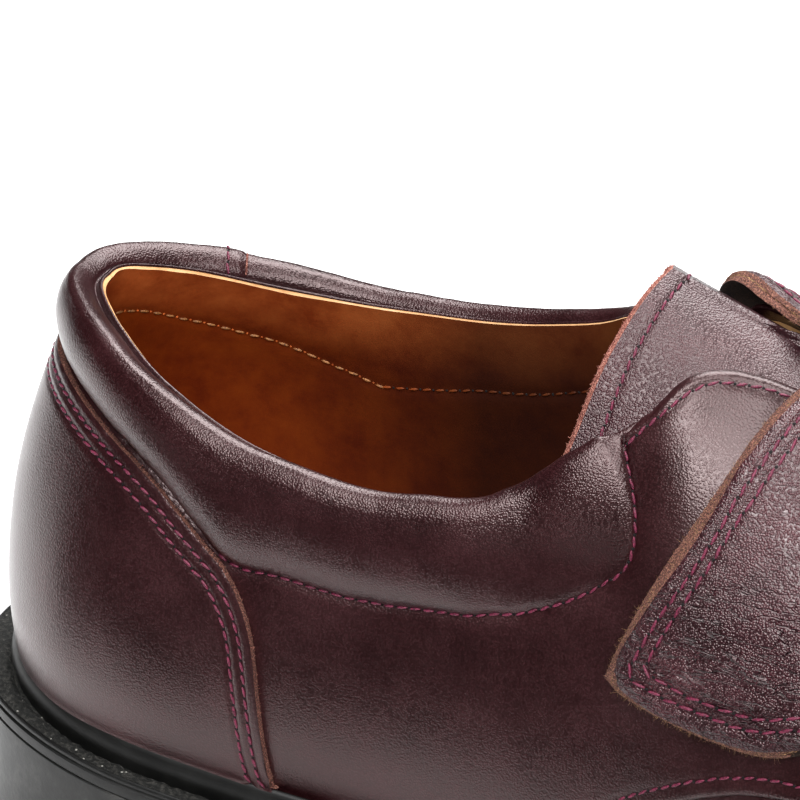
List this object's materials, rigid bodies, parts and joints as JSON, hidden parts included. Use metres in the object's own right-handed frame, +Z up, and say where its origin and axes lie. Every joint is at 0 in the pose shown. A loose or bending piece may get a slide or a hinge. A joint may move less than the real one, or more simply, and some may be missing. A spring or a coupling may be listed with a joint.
{
  "type": "derby shoe",
  "caption": "Right derby shoe: hollow lasted leather upper with padded collar and tongue, closed by one wide strap, on a moulded rubber sole with heel.",
  "frame": {"origin": "on the floor, under the middle of the sole's box", "axes": "+X towards the toe, +Y towards the inner (medial) side, +Z up"},
  "size_m": [0.2996, 0.1058, 0.1185],
  "materials": {
    "black_moulded_rubber": "satin, moulded",
    "black_welt_rubber": "matt, roughened top",
    "tan_sock_leather": "smooth lining leather",
    "burgundy_leather": "waxed, fine grain",
    "burgundy_counter_leather": "waxed, very fine grain",
    "burgundy_collar_leather": "waxed, padded",
    "burgundy_tongue_leather": "waxed, pebble grain",
    "burgundy_strap_leather": "waxed, pebble grain"
  },
  "bodies": {
    "root": {"outsole": "black_moulded_rubber", "welt": "black_welt_rubber", "insole": "tan_sock_leather", "upper": "burgundy_leather", "heel_counter": "burgundy_counter_leather", "collar": "burgundy_collar_leather", "tongue": "burgundy_tongue_leather", "strap": "burgundy_strap_leather"}
  },
  "joints": []
}
